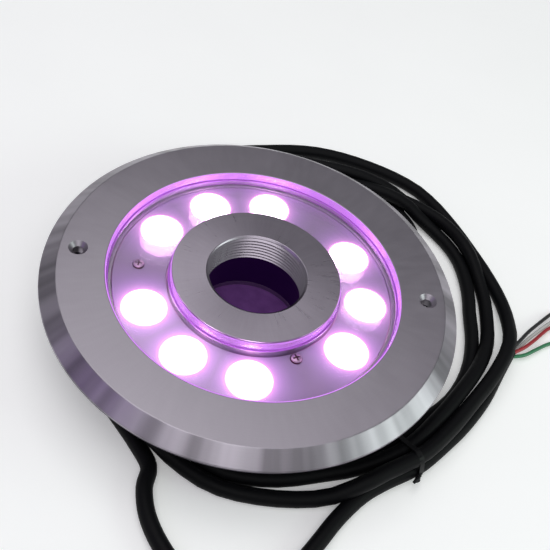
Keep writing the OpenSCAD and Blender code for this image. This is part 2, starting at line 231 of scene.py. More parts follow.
@dataclass(frozen=True)
class TurnedSteel:
    """Stainless steel from a lathe: fine rings round +Z, with faint spokes of light and dark painted in as
    the turned finish's sheen.

    Attributes:
        colour: The metal's middle tone.
        roughness: Its middle roughness.
        spokes: How strongly the spokes of painted sheen show in the tone; they also vary the roughness.
        painted_streaks: How strongly broad light and dark patches show outside the rim radius, painted
            reflections like the streaky ones of a turned bevel.
        rim: The radius past which these painted reflections show, in millimetres.
        foot: The height under which painted shade darkens the metal, in millimetres, or 0.
        deep: The painted shade's tone under that height.
        rings: The depth of the lathe's rings, in millimetres.
        anisotropy: How far a highlight is drawn out across the rings.
    """

    colour: Colour = (0.36, 0.33, 0.375)
    roughness: float = 0.40
    spokes: float = 0.10
    # Painted reflections on a bevel, as broad light and dark patches.
    painted_streaks: float = 0.0
    rim: float = 0.0
    foot: float = 0.0
    deep: Colour = (0.05, 0.04, 0.06)
    rings: float = 0.010
    anisotropy: float = 0.35

    def material(self, name: str) -> bpy.types.Material:
        """The finish as a material of that name."""
        s = Shader(name)
        where = s.place()
        x, y, z = s.split(where)
        radius = (x * x + y * y) ** 0.5
        # Painted sheen: spokes of light and dark round +Z in the tone, with a real change of roughness.
        spoke = s.noise(s.vector(x / radius, y / radius, radius * 3), 26, 4)
        ring = s.noise(s.vector(radius, z * 0.5, 0), 2600, 2)
        blotch = s.noise(where, 38, 3)
        # Painted reflections: broad light and dark patches by direction, only outside the rim radius.
        reflection_patch = s.noise(s.vector(x / radius, y / radius, 0), 6.5, 2)
        bevel = radius.step((self.rim - 0.2) * MM, (self.rim + 0.2) * MM) * self.painted_streaks
        tone = (spoke - 0.5) * self.spokes * 2 + (blotch - 0.5) * 0.12 + (ring - 0.5) * 0.14
        tone = tone + (reflection_patch - 0.5) * bevel
        dark = tuple(c * 0.62 for c in self.colour)
        light = tuple(min(1.0, c * 1.38) for c in self.colour)
        colour = s.blend(tone + 0.5, dark, light)
        # Painted shade: under the foot height the colour turns to the deep tone.
        if self.foot:
            colour = s.blend(z.step((self.foot - 0.3) * MM, (self.foot + 0.3) * MM), self.deep, colour)
        return s.done(
            s.principled(
                Base_Color=colour,
                Metallic=1.0,
                Roughness=self.roughness + (spoke - 0.5) * 0.12 + (blotch - 0.5) * 0.10,
                Anisotropic=self.anisotropy,
                Normal=s.bump(ring, self.rings),
            )
        )


@dataclass(frozen=True)
class CastMetal:
    """Metal with a fine even grain, such as a screw, a brass post or a drawn housing.

    Attributes:
        colour: The metal's middle tone.
        roughness: Its middle roughness.
        grain: The grain's scale.
        depth: The grain's depth, in millimetres.
        foot: The height under which painted shade darkens the metal, in millimetres, or 0.
        deep: The painted shade's tone under that height.
    """

    colour: Colour
    roughness: float = 0.35
    grain: float = 900.0
    depth: float = 0.008
    foot: float = 0.0
    deep: Colour = (0.10, 0.01, 0.05)

    def material(self, name: str) -> bpy.types.Material:
        """The finish as a material of that name."""
        s = Shader(name)
        where = s.place()
        grain = s.noise(where, self.grain, 3)
        blotch = s.noise(where, self.grain / 20, 3)
        dark = tuple(c * 0.78 for c in self.colour)
        light = tuple(min(1.0, c * 1.15) for c in self.colour)
        colour = s.blend(blotch, dark, light)
        # Painted shade: under the foot height the colour turns to the deep tone.
        if self.foot:
            height = s.split(where)[2]
            colour = s.blend(height.step((self.foot - 0.1) * MM, (self.foot + 0.1) * MM), self.deep, colour)
        return s.done(
            s.principled(
                Base_Color=colour,
                Metallic=1.0,
                Roughness=self.roughness + (blotch - 0.5) * 0.2,
                Normal=s.bump(grain, self.depth),
            )
        )


@dataclass(frozen=True)
class Moulded:
    """Rubber, plastic or lacquer: a tone that drifts a little, over a fine moulded grain.

    Attributes:
        colour: The middle tone.
        roughness: The middle roughness.
        grain: The grain's scale.
        depth: The grain's depth, in millimetres.
        coat: The weight of a clear coat.
        glow: How strongly it glows in its own tone, or 0; on a gasket or sealant this is painted lamp light,
            on an LED the light itself.
        specular: The specular level.
    """

    colour: Colour
    roughness: float = 0.5
    grain: float = 1400.0
    depth: float = 0.01
    coat: float = 0.0
    glow: float = 0.0
    specular: float = 0.5

    def material(self, name: str) -> bpy.types.Material:
        """The finish as a material of that name."""
        s = Shader(name)
        where = s.place()
        grain = s.noise(where, self.grain, 2)
        blotch = s.noise(where, 60, 4)
        dark = tuple(c * 0.72 for c in self.colour)
        light = tuple(min(1.0, c * 1.3) for c in self.colour)
        tone = s.blend(blotch * 0.8 + grain * 0.2, dark, light)
        inputs = {
            "Base_Color": tone,
            "Roughness": self.roughness + (blotch - 0.5) * 0.2 + (grain - 0.5) * 0.1,
            "Coat_Weight": self.coat,
            "Specular_IOR_Level": self.specular,
            "Normal": s.bump(grain, self.depth),
        }
        # The glow: painted lamp light, except on the LED itself.
        if self.glow:
            inputs["Emission_Color"] = tone
            inputs["Emission_Strength"] = self.glow
        return s.done(s.principled(**inputs))


@dataclass(frozen=True)
class LampLight:
    """Where the light is: the lenses' centres, and the glow of their light painted round them."""

    centres: tuple[tuple[float, float], ...]
    lens_radius: float
    white: Colour = (1.0, 0.90, 1.0)
    pink: Colour = (1.0, 0.36, 0.86)
    violet: Colour = (0.42, 0.20, 0.85)

    def distance(self, s: Shader) -> Link:
        """How far a point is from the nearest lens's axis, in lens radii."""
        x, y, _ = s.split(s.place())
        flat = s.vector(x, y, 0)
        nearest = None
        for centre in self.centres:
            reach = s.node(
                "ShaderNodeVectorMath",
                {"operation": "DISTANCE"},
                {0: flat, 1: (centre[0] * MM, centre[1] * MM, 0)},
            )["Value"]
            nearest = reach if nearest is None else nearest.least(reach)
        return nearest / (self.lens_radius * MM)

    def lens_material(self, name: str, strength: float = 7.0) -> bpy.types.Material:
        """A lit lens, white in the middle and pink at its rim."""
        s = Shader(name)
        rim = self.distance(s).step(0.78, 1.05)
        frost = s.noise(s.place(), 700, 3)
        return s.done(
            s.principled(
                Base_Color=s.blend(frost, (0.80, 0.74, 0.82), (0.95, 0.90, 0.97)),
                Roughness=0.12 + frost * 0.15,
                IOR=1.49,
                Emission_Color=s.blend(rim, self.white, self.pink),
                Emission_Strength=strength,
                Normal=s.bump(frost, 0.01),
            )
        )

    def lit(
        self, name: str, colour: Colour, metallic: float, roughness: float, reach: float, glow: float
    ) -> bpy.types.Material:
        """A satin surface round the lenses with their light painted on it as a glow.

        Args:
            name: The material's name.
            colour: The surface's own colour.
            metallic: 1 for a metal.
            roughness: The surface's roughness.
            reach: How far the painted glow carries, in lens radii.
            glow: The strength of the painted glow at a lens's rim.

        Returns:
            The material.
        """
        s = Shader(name)
        where = s.place()
        # Painted light: a pink and violet glow that fades with the distance from each lens's rim.
        away = (self.distance(s) - 1).most(0)
        near = (away * (-1 / reach)).exp()
        wide = (away * (-0.35 / reach)).exp()
        grain = s.noise(where, 1100, 3)
        blotch = s.noise(where, 45, 3)
        dark = tuple(c * 0.85 for c in colour)
        painted_glow_tint = s.blend(near, self.violet, self.pink)
        return s.done(
            s.principled(
                Base_Color=s.blend(blotch, dark, colour),
                Metallic=metallic,
                Roughness=roughness + (blotch - 0.5) * 0.1,
                Emission_Color=s.scaled(painted_glow_tint, near * glow + wide * (glow * 0.22)),
                Emission_Strength=1.0,
                Normal=s.bump(grain, 0.006),
            )
        )


@dataclass(frozen=True)
class ClearGlass:
    """Polished plate glass that shows what is under it, and reflects more at a low angle."""

    tint: Colour = (0.97, 0.93, 0.98)
    roughness: float = 0.03

    def material(self, name: str) -> bpy.types.Material:
        """The finish as a material of that name."""
        s = Shader(name)
        smear = s.noise(s.place(), 30, 4)
        clear = s.node("ShaderNodeBsdfTransparent", {}, {"Color": self.tint})
        gloss = s.node(
            "ShaderNodeBsdfGlossy",
            {},
            {"Color": (1.0, 1.0, 1.0), "Roughness": self.roughness + smear * 0.05},
        )
        edge = s.node("ShaderNodeFresnel", {}, {"IOR": 1.5})
        return s.done(s.node("ShaderNodeMixShader", {}, {0: edge * 0.35, 1: clear, 2: gloss}))


@dataclass(frozen=True)
class Stranded:
    """Bare tinned copper, with bright and dull wires side by side."""

    colour: Colour = (0.72, 0.45, 0.30)

    def material(self, name: str) -> bpy.types.Material:
        """The finish as a material of that name."""
        s = Shader(name)
        wire = s.noise(s.place(), 3200, 2)
        light = tuple(min(1.0, c * 1.2) for c in self.colour)
        return s.done(
            s.principled(
                Base_Color=s.blend(wire, self.colour, light), Metallic=1.0, Roughness=0.25 + wire * 0.2
            )
        )


class Slot(Enum):
    """The record's material slots."""

    FACE = "face_steel"
    HOUSING = "housing_steel"
    SCREW = "screw_steel"
    GLASS = "window_glass"
    SEAL = "seal_rubber"
    SEALANT = "clear_sealant"
    PLATE = "plate_aluminium"
    BRASS = "brass_standoff"
    LENS = "lens_acrylic"
    HOLDER = "holder_plastic"
    EMITTER = "led_emitter"
    LED_BOARD = "led_board_white"
    THERMAL = "thermal_silicone"
    SPREADER = "spreader_aluminium"
    DRIVER = "driver_board_green"
    FERRITE = "ferrite"
    CAN = "capacitor_can"
    CHIP = "chip_epoxy"
    TERMINAL = "terminal_plastic"
    CORE = "core_insulation"
    GLAND = "gland_nylon"
    RUBBER = "cable_rubber"
    TIE = "tie_plastic"


# ---------- meshes ----------


def to_object(bm: bmesh.types.BMesh, name: str, sharp: float = 32.0) -> bpy.types.Object:
    """Ends a bmesh in millimetres as an object in metres, smooth but for its sharp edges.

    Args:
        bm: The bmesh, which is freed.
        name: The piece's name.
        sharp: The angle in degrees above which an edge stays sharp.

    Returns:
        The new object, linked to the scene, at the origin.
    """
    bmesh.ops.scale(bm, vec=(MM, MM, MM), verts=bm.verts)
    mesh = bpy.data.meshes.new(name)
    bm.to_mesh(mesh)
    bm.free()
    mesh.shade_smooth()
    mesh.set_sharp_from_angle(angle=math.radians(sharp))
    for polygon in mesh.polygons:
        if abs(polygon.normal.z) > 0.9999:
            polygon.use_smooth = False
    piece = bpy.data.objects.new(name, mesh)
    bpy.context.scene.collection.objects.link(piece)
    return piece


def turned(profile: Sequence[Point], steps: int = 192, edge: float = 0.0) -> bmesh.types.BMesh:
    """A solid turned round +Z.

    Args:
        profile: The closed outline's corners as (radius, height). A radius of 0 is on the axis.
        steps: The number of steps of the full turn.
        edge: The width that rounds its corners, or 0.

    Returns:
        The solid as a bmesh, in millimetres.
    """
    bm = bmesh.new()
    corners = [bm.verts.new((r, 0, z)) for r, z in profile]
    sides = [bm.edges.new(pair) for pair in zip(corners, corners[1:] + corners[:1])]
    if edge:
        bm.faces.new(corners)
        bmesh.ops.bevel(
            bm, geom=list(corners), offset=edge, segments=2, profile=0.5, affect="VERTICES", material=-1,
            clamp_overlap=True,
        )
        bmesh.ops.delete(bm, geom=list(bm.faces), context="FACES_ONLY")
        corners = list(bm.verts)
        sides = list(bm.edges)
    bmesh.ops.spin(
        bm, geom=corners + sides, cent=(0, 0, 0), axis=(0, 0, 1), angle=math.tau, steps=steps, use_merge=True
    )
    bmesh.ops.remove_doubles(bm, verts=bm.verts, dist=0.0005)
    bmesh.ops.dissolve_degenerate(bm, edges=bm.edges, dist=0.0005)
    bmesh.ops.recalc_face_normals(bm, faces=bm.faces)
    return bm


def prism(sides: int, radius: float, low: float, high: float, edge: float = 0.0) -> bmesh.types.BMesh:
    """An upright prism between two heights, with rounded edges where edge isn't 0."""
    bm = bmesh.new()
    bmesh.ops.create_circle(bm, cap_ends=True, segments=sides, radius=radius)
    bmesh.ops.translate(bm, vec=(0, 0, low), verts=bm.verts)
    grown = bmesh.ops.extrude_face_region(bm, geom=list(bm.faces))
    top = [g for g in grown["geom"] if isinstance(g, bmesh.types.BMVert)]
    bmesh.ops.translate(bm, vec=(0, 0, high - low), verts=top)
    bmesh.ops.recalc_face_normals(bm, faces=bm.faces)
    if edge:
        bmesh.ops.bevel(
            bm, geom=list(bm.edges), offset=edge, segments=2, profile=0.5, affect="EDGES", material=-1
        )
    return bm


def block(low: Point, high: Point, edge: float = 0.0) -> bmesh.types.BMesh:
    """A box between two corners, with rounded edges where edge isn't 0."""
    bm = prism(4, math.sqrt(0.5), 0, 1)
    bmesh.ops.rotate(bm, cent=(0, 0, 0), matrix=Matrix.Rotation(math.pi / 4, 3, "Z"), verts=bm.verts)
    bmesh.ops.translate(bm, vec=(0.5, 0.5, 0), verts=bm.verts)
    bmesh.ops.scale(bm, vec=[b - a for a, b in zip(low, high)], verts=bm.verts)
    bmesh.ops.translate(bm, vec=low, verts=bm.verts)
    if edge:
        bmesh.ops.bevel(
            bm, geom=list(bm.edges), offset=edge, segments=2, profile=0.5, affect="EDGES", material=-1
        )
    return bm


def spread(source: bmesh.types.BMesh, places: Iterable[Matrix]) -> bmesh.types.BMesh:
    """Copies of a bmesh at several places, as one. The source is freed."""
    mesh = bpy.data.meshes.new("copy")
    source.to_mesh(mesh)
    source.free()
    whole = bmesh.new()
    for place in places:
        before = len(whole.verts)
        whole.from_mesh(mesh)
        whole.verts.ensure_lookup_table()
        bmesh.ops.transform(whole, matrix=place, verts=whole.verts[before:])
    bpy.data.meshes.remove(mesh)
    return whole


def joined(parts: Sequence[bmesh.types.BMesh]) -> bmesh.types.BMesh:
    """Several bmeshes as one. All of them are freed."""
    whole = bmesh.new()
    for part in parts:
        mesh = bpy.data.meshes.new("part")
        part.to_mesh(mesh)
        part.free()
        whole.from_mesh(mesh)
        bpy.data.meshes.remove(mesh)
    return whole


def around(radius: float, angles: Iterable[float], height: float = 0.0) -> list[Matrix]:
    """Places on a circle round +Z, in degrees, each turned to face outwards."""
    return [
        Matrix.Rotation(math.radians(a), 4, "Z") @ Matrix.Translation((radius, 0, height)) for a in angles
    ]


def combined(bm: bmesh.types.BMesh, tool: bmesh.types.BMesh, operation: str) -> bmesh.types.BMesh:
    """A solid with a tool cut from it or added to it.

    Args:
        bm: The solid, which is freed.
        tool: The other solid, which is freed.
        operation: DIFFERENCE or UNION.

    Returns:
        The result as a bmesh.
    """
    body, other = bpy.data.meshes.new("body"), bpy.data.meshes.new("tool")
    for source, mesh in ((bm, body), (tool, other)):
        source.to_mesh(mesh)
        source.free()
    base, cutter = bpy.data.objects.new("body", body), bpy.data.objects.new("tool", other)
    for piece in (base, cutter):
        bpy.context.scene.collection.objects.link(piece)
    modifier = base.modifiers.new("cut", "BOOLEAN")
    modifier.operation = operation
    modifier.object = cutter
    modifier.solver = "EXACT"
    graph = bpy.context.evaluated_depsgraph_get()
    result = bmesh.new()
    result.from_mesh(base.evaluated_get(graph).to_mesh())
    bmesh.ops.remove_doubles(result, verts=result.verts, dist=1e-4)
    bmesh.ops.dissolve_degenerate(result, dist=1e-3, edges=result.edges)
    for piece in (base, cutter):
        bpy.data.objects.remove(piece)
    for mesh in (body, other):
        bpy.data.meshes.remove(mesh)
    return result


def smooth_route(points: Sequence[Point], steps: int) -> list[Vector]:
    """A smooth curve through the points of a route.

    Args:
        points: The route's points.
        steps: The number of steps between two points.

    Returns:
        The curve's points.
    """
    p = [Vector(q) for q in points]
    curve = []
    for i in range(len(p) - 1):
        before, a, b, after = p[max(i - 1, 0)], p[i], p[i + 1], p[min(i + 2, len(p) - 1)]
        for k in range(steps):
            t = k / steps
            curve.append(
                0.5 * (2 * a + (b - before) * t + (2 * before - 5 * a + 4 * b - after) * t * t
                       + (3 * a - before - 3 * b + after) * t ** 3)
            )
    return curve + [p[-1]]


def wire(name: str, points: Sequence[Point], radius: float, ends: bool = True) -> bpy.types.Object:
    """A round wire along points in millimetres, as a curve of one open spline in metres."""
    data = bpy.data.curves.new(name, "CURVE")
    data.dimensions = "3D"
    data.bevel_depth = radius * MM
    data.bevel_resolution = 5
    data.use_fill_caps = ends
    spline = data.splines.new("POLY")
    spline.points.add(len(points) - 1)
    for spot, point in zip(spline.points, points):
        spot.co = (*(c * MM for c in point), 1)
    spline.use_smooth = True
    piece = bpy.data.objects.new(name, data)
    bpy.context.scene.collection.objects.link(piece)
    return piece


def dress(
    piece: bpy.types.Object, slot: Slot, material: bpy.types.Material, *nodes: str
) -> bpy.types.Object:
    """Gives a piece its material and its body, and what it stands for.

    Args:
        piece: The piece.
        slot: The record's slot that its finish comes from; not used.
        material: Its material.
        nodes: The CAD nodes that it replaces.

    Returns:
        The piece.
    """
    piece.data.materials.clear()
    piece.data.materials.append(material)
    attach(piece, "root")
    if nodes:
        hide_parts(*nodes)
    LOG.info("%s stands for %s", piece.name, ", ".join(nodes) or "no node")
    return piece


def redress(node: str, material: bpy.types.Material) -> None:
    """Gives a CAD node, which stays as it is, a better material."""
    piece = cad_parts[node]
    for place in piece.material_slots:
        place.material = material
    if not piece.material_slots:
        piece.data.materials.append(material)
    LOG.info("%s keeps its shape", node)


# ---------- studio ----------


@dataclass(frozen=True)
class Softbox:
    """A large soft light, placed by its direction from the lamp."""

    name: str
    towards: Point
    distance: float
    width: float
    height: float
    brightness: float
    colour: Colour = (1.0, 1.0, 1.0)

    def build(self) -> None:
        """Adds the light, aimed at the lamp."""
        data = bpy.data.lights.new(self.name, "AREA")
        data.shape = "RECTANGLE"
        data.size, data.size_y = self.width, self.height
        data.energy = self.brightness * math.pi * self.width * self.height
        data.color = self.colour
        light = bpy.data.objects.new(self.name, data)
        light.location = Vector(self.towards).normalized() * self.distance
        light.rotation_euler = light.location.to_track_quat("Z", "Y").to_euler()
        bpy.context.scene.collection.objects.link(light)


@dataclass
class Studio:
    """The camera, the pale floor with its painted shade under the bore, and the soft light."""

    eye: Point = (-34.664, -263.299, 331.424)
    aim: Point = (8.574, 1.468, 40.0)
    roll: float = 15.571
    lens: float = 54.52
    floor_size: float = 6.0
    ambient: float = 0.25
    # The radius of the painted shade on the floor under the bore, in millimetres.
    bore: float = 30.0
    boxes: tuple[Softbox, ...] = (
        Softbox("overhead", (-0.15, 0.20, 0.97), 1.4, 1.2, 1.0, 1.6),
        Softbox("front", (0.0, -0.52, 0.86), 1.5, 1.3, 0.9, 1.5),
        Softbox("right", (0.90, -0.20, 0.42), 1.3, 0.7, 0.5, 3.4, (0.84, 1.0, 0.88)),
        Softbox("left", (-0.76, -0.29, 0.58), 1.3, 0.5, 0.4, 0.8, (0.45, 0.14, 0.80)),
    )

    def camera(self) -> None:
        """Adds the camera at its viewing angle."""
        data = bpy.data.cameras.new("camera")
        data.lens = self.lens
        data.sensor_width = 36
        data.clip_start = 0.01
        camera = bpy.data.objects.new("camera", data)
        eye, aim = Vector(self.eye) * MM, Vector(self.aim) * MM
        turn = Quaternion((0, 0, 1), math.radians(self.roll))
        camera.location = eye
        camera.rotation_mode = "QUATERNION"
        camera.rotation_quaternion = (aim - eye).to_track_quat("-Z", "Y") @ turn
        bpy.context.scene.collection.objects.link(camera)
        bpy.context.scene.camera = camera

    def floor(self) -> None:
        """Adds the floor, a little under the lamp's feet, with a dark violet patch of painted shade where it
        shows through the bore.
        """
        bm = bmesh.new()
        bmesh.ops.create_grid(bm, x_segments=1, y_segments=1, size=self.floor_size / MM / 2)
        bmesh.ops.translate(bm, vec=(0, 0, -0.05), verts=bm.verts)
        floor = to_object(bm, "floor")
        s = Shader("floor")
        where = s.place()
        x, y, _ = s.split(where)
        paper = s.noise(where, 12, 3)
        mottle = s.noise(where, 130, 3)
        # Painted shade: inside the bore's radius the floor turns a mottled dark violet, its shade with the
        # lamp's tint.
        away = ((x * x + y * y) ** 0.5).step((self.bore - 0.5) * MM, (self.bore + 0.5) * MM)
        white = s.blend(paper, (0.90, 0.90, 0.90), (0.94, 0.94, 0.94))
        painted_bore_shade = s.blend(mottle, (0.05, 0.012, 0.09), (0.15, 0.05, 0.22))
        tone = s.blend(away, painted_bore_shade, white)
        floor.data.materials.append(
            s.done(
                s.principled(Base_Color=tone, Roughness=0.85, Emission_Color=tone, Emission_Strength=0.25)
            )
        )

    def light(self) -> None:
        """Adds the soft light and the even light of the room."""
        world = bpy.data.worlds.new("room")
        world.use_nodes = True
        world.node_tree.nodes["Background"].inputs["Color"].default_value = (0.95, 0.97, 1.0, 1)
        world.node_tree.nodes["Background"].inputs["Strength"].default_value = self.ambient
        bpy.context.scene.world = world
        for box in self.boxes:
            box.build()
        bpy.context.scene.view_settings.view_transform = "Standard"

    def build(self) -> None:
        """Adds all of it."""
        self.camera()
        self.floor()
        self.light()


# ---------- cable ----------


@dataclass(frozen=True)
class Station:
    """Where the coil's strands lie at one direction from its centre.

    Attributes:
        azimuth: The direction in degrees.
        lanes: The (radius, height) of each pass of the cable there, first pass first.
    """

    azimuth: float
    lanes: tuple[tuple[float, float], ...]


@dataclass
class Cable:
    """The black cable: from the gland into a loose coil, round a slack loop to its bare cores."""

    diameter: float = 7.5
    length: float = 2.75
    centre: tuple[float, float] = (20.0, 26.0)
    first: float = 50.0
    step: float = 4.0
    lead: tuple[Point, ...] = (
        (79.46, 55.64, 13), (84, 59, 12.6), (88, 65, 11.2), (91, 72, 9), (92, 80, 6.6),
        (91, 88, 4.6), (88, 95, 3.75), (83, 102, 3.75), (76, 108, 3.75),
    )
    loop: tuple[Point, ...] = (
        (-52, -66, 3.75), (-43, -77, 3.75), (-36.5, -87, 3.75), (-37, -97, 3.75), (-34, -109, 3.75),
        (-27, -121, 3.75), (-17, -132, 3.75), (-6, -139, 3.75), (6, -140.8, 3.75), (17, -136, 3.75),
        (27, -127, 3.75), (37, -114, 3.75), (47, -100, 3.75), (58, -88, 3.75), (69, -80, 4.1),
        (80, -73.5, 4.4), (88, -67.5, 4.1), (99.5, -56, 3.75), (110, -44.5, 3.75), (122, -28, 3.75),
        (132.5, -9, 3.75), (139.5, 3.5, 3.75),
    )
    stations: tuple[Station, ...] = (
        Station(50, ((98.7, 3.75), (99.8, 11.2), (107.2, 6.0), (124.0, 3.75))),
        Station(56, ((99.3, 3.75), (97.0, 11.2), (104.6, 9.4), (123.2, 3.75))),
        Station(66, ((100.2, 3.75), (93.5, 9.0), (100.6, 11.2), (120.6, 3.75))),
        Station(82, ((100.6, 3.75), (93.1, 3.75), (97.0, 10.2), (116.5, 3.75))),
        Station(100, ((101.8, 3.75), (94.3, 3.75), (98.0, 10.2), (109.8, 3.75))),
        Station(120, ((101.5, 3.75), (94.0, 3.75), (97.8, 10.2), (109.0, 3.75))),
        Station(135, ((101.8, 3.75), (94.8, 9.2), (102.6, 11.2), (109.3, 3.75))),
        Station(150, ((102.0, 3.75), (98.3, 10.2), (105.8, 10.2), (109.5, 3.75))),
        Station(180, ((104.0, 3.75), (104.0, 11.2), (111.5, 11.2), (111.5, 3.75))),
        Station(210, ((106.6, 3.75), (106.6, 11.2), (114.1, 11.2), (114.1, 3.75))),
        Station(226, ((107.6, 3.75), (107.6, 11.2), (115.1, 11.2), (115.2, 3.75))),
        Station(238, ((107.2, 3.75), (108.2, 11.2), (116.0, 10.4))),
        Station(247, ((106.8, 3.75), (111.5, 9.6), (118.6, 6.2))),
        Station(257, ((106.2, 3.75), (113.7, 3.75), (121.2, 3.75))),
        Station(268, ((104.3, 3.75), (111.8, 3.75), (120.7, 3.75))),
        Station(280, ((100.4, 3.75), (107.9, 3.75), (119.4, 3.75))),
        Station(288, ((99.8, 3.75), (107.2, 3.75), (118.2, 10.8))),
        Station(295, ((99.6, 4.2), (107.0, 5.5), (115.2, 11.2))),
        Station(304, ((99.6, 4.7), (106.8, 8.0), (114.3, 11.3))),
        Station(315, ((99.9, 4.2), (104.5, 10.2), (112.0, 10.9))),
        Station(327, ((102.2, 3.75), (104.0, 10.9), (111.5, 10.3))),
        Station(339, ((103.0, 3.75), (106.5, 9.8), (115.2, 10.9))),
        Station(350, ((102.3, 3.75), (109.6, 6.2), (120.0, 11.0))),
        Station(360, ((101.6, 3.75), (111.2, 3.75), (122.0, 6.0))),
        Station(366, ((103.0, 3.75), (112.3, 3.75), (122.4, 3.75))),
        Station(373, ((105.1, 3.75), (112.9, 4.5), (120.6, 3.75))),
        Station(384, ((107.8, 3.75), (113.3, 9.0), (119.0, 3.75))),
        Station(395, ((106.6, 3.75), (113.0, 8.0), (120.3, 3.75))),
        Station(403, ((103.4, 7.0), (110.9, 6.5), (122.6, 3.75))),
        Station(406, ((102.2, 9.6), (109.8, 6.0), (123.3, 3.75))),
    )
    core_radius: float = 1.0
    cores: tuple[tuple[str, Colour, tuple[Point, ...]], ...] = (
        ("black", (0.015, 0.014, 0.016),
         ((138.4, 4, 4.9), (146, 11, 5.6), (154, 20.5, 5), (166, 33, 3), (175, 42, 1.2))),
        ("red", (0.35, 0.02, 0.03),
         ((140.6, 3, 4.9), (149, 8.5, 5), (156.5, 15.5, 4.2), (166, 25.5, 2.6), (177, 34, 1.2))),
        ("green", (0.03, 0.20, 0.09),
         ((140.6, 3, 2.5), (149.5, 5.5, 2.6), (157, 10.5, 2.2), (164, 15.5, 1.6), (176, 22, 1.2))),
        ("white", (0.50, 0.49, 0.48),
         ((138.4, 4, 2.5), (147, 10, 3), (155.5, 18.5, 3), (167, 29.5, 2), (178, 39, 1.2))),
    )
    bare: float = 6.0
    tie_angle: float = -57.0

    def passes(self) -> list[tuple[float, Vector]]:
        """Every pass through a station, in order along the cable, as its run and (radius, height)."""
        found = [
            (360 * k + station.azimuth, Vector(station.lanes[k]))
            for k in range(4) for station in self.stations if k < len(station.lanes)
        ]
        return sorted(found, key=lambda item: item[0])

    def lane(self, run: float) -> tuple[float, float]:
        """The coil's radius and height at a run of so many degrees along the cable.

        Args:
            run: The degrees turned since the coil's zero direction.

        Returns:
            The radius and the height, on a smooth curve through the stations.
        """
        passes = self.passes()
        index = next((i for i in range(len(passes) - 2) if run <= passes[i + 1][0]), len(passes) - 2)
        (a, start), (b, end) = passes[index], passes[index + 1]
        before, after = passes[max(index - 1, 0)], passes[min(index + 2, len(passes) - 1)]
        leave = (end - before[1]) / (b - before[0]) * (b - a)
        reach = (after[1] - start) / (after[0] - a) * (b - a)
        t = (run - a) / (b - a)
        spot = (
            start * (2 * t**3 - 3 * t**2 + 1) + leave * (t**3 - 2 * t**2 + t)
            + end * (3 * t**2 - 2 * t**3) + reach * (t**3 - t**2)
        )
        return spot.x, max(spot.y, self.diameter / 2)

    def coil(self) -> list[Vector]:
        """The points of the coil's turns."""
        points = []
        start, last = self.first + 12, self.passes()[-1][0]
        count = round((last - start) / self.step)
        for i in range(count + 1):
            run = start + (last - start) * i / count
            radius, height = self.lane(run)
            a = math.radians(run)
            x, y = self.centre[0] + radius * math.cos(a), self.centre[1] + radius * math.sin(a)
            points.append(Vector((x, y, height)))
        return points

    def route(self) -> list[Vector]:
        """The whole cable's centreline."""
        coil = self.coil()
        head = smooth_route((*self.lead, coil[0], coil[1]), 4)[:-4]
        tail = smooth_route((coil[-2], coil[-1], *self.loop), 4)[4:]
        points = head[:-1] + coil + tail[1:]
        for point in points:
            point.z = max(point.z, self.diameter / 2 + 0.01)
        return points

    def jacket(self, points: Sequence[Vector]) -> bpy.types.Object:
        """The cable's cut end, a short open lip on its last few millimetres."""
        r = self.diameter / 2
        bm = turned(
            [
                (r - 0.9, -0.6), (r - 0.9, 2.6), (r - 0.1, 2.8), (r - 0.02, 2.4), (r - 0.02, -3.0),
                (r - 0.5, -3.2), (0.0, -3.2), (0.0, -0.6),
            ], 40,
        )
        heading = points[-1] - points[-2]
        place = Matrix.Translation(points[-1]) @ heading.to_track_quat("Z", "Y").to_matrix().to_4x4()
        bmesh.ops.transform(bm, matrix=place, verts=bm.verts)
        return to_object(bm, "jacket_end")

    def tips(self) -> bpy.types.Object:
        """The bare twisted strands at the end of each core."""
        parts = []
        for _, _, route in self.cores:
            end, before = Vector(route[-1]), Vector(route[-2])
            along = (end - before).normalized()
            side = along.cross(Vector((0, 0, 1))).normalized()
            up = side.cross(along)
            for k in range(7):
                bm = turned([(0.0, 0.0), (0.19, 0.0), (0.19, self.bare), (0.0, self.bare)], 8)
                ring = 0.0 if k == 6 else 0.42
                a = math.tau * k / 6
                spot = end - along * self.bare + (side * math.cos(a) + up * math.sin(a)) * ring
                tilt = along + (side * -math.sin(a) + up * math.cos(a)) * 0.12
                turn = tilt.to_track_quat("Z", "Y").to_matrix().to_4x4()
                bmesh.ops.transform(bm, matrix=Matrix.Translation(spot) @ turn, verts=bm.verts)
                parts.append(bm)
        return to_object(joined(parts), "core_tips")

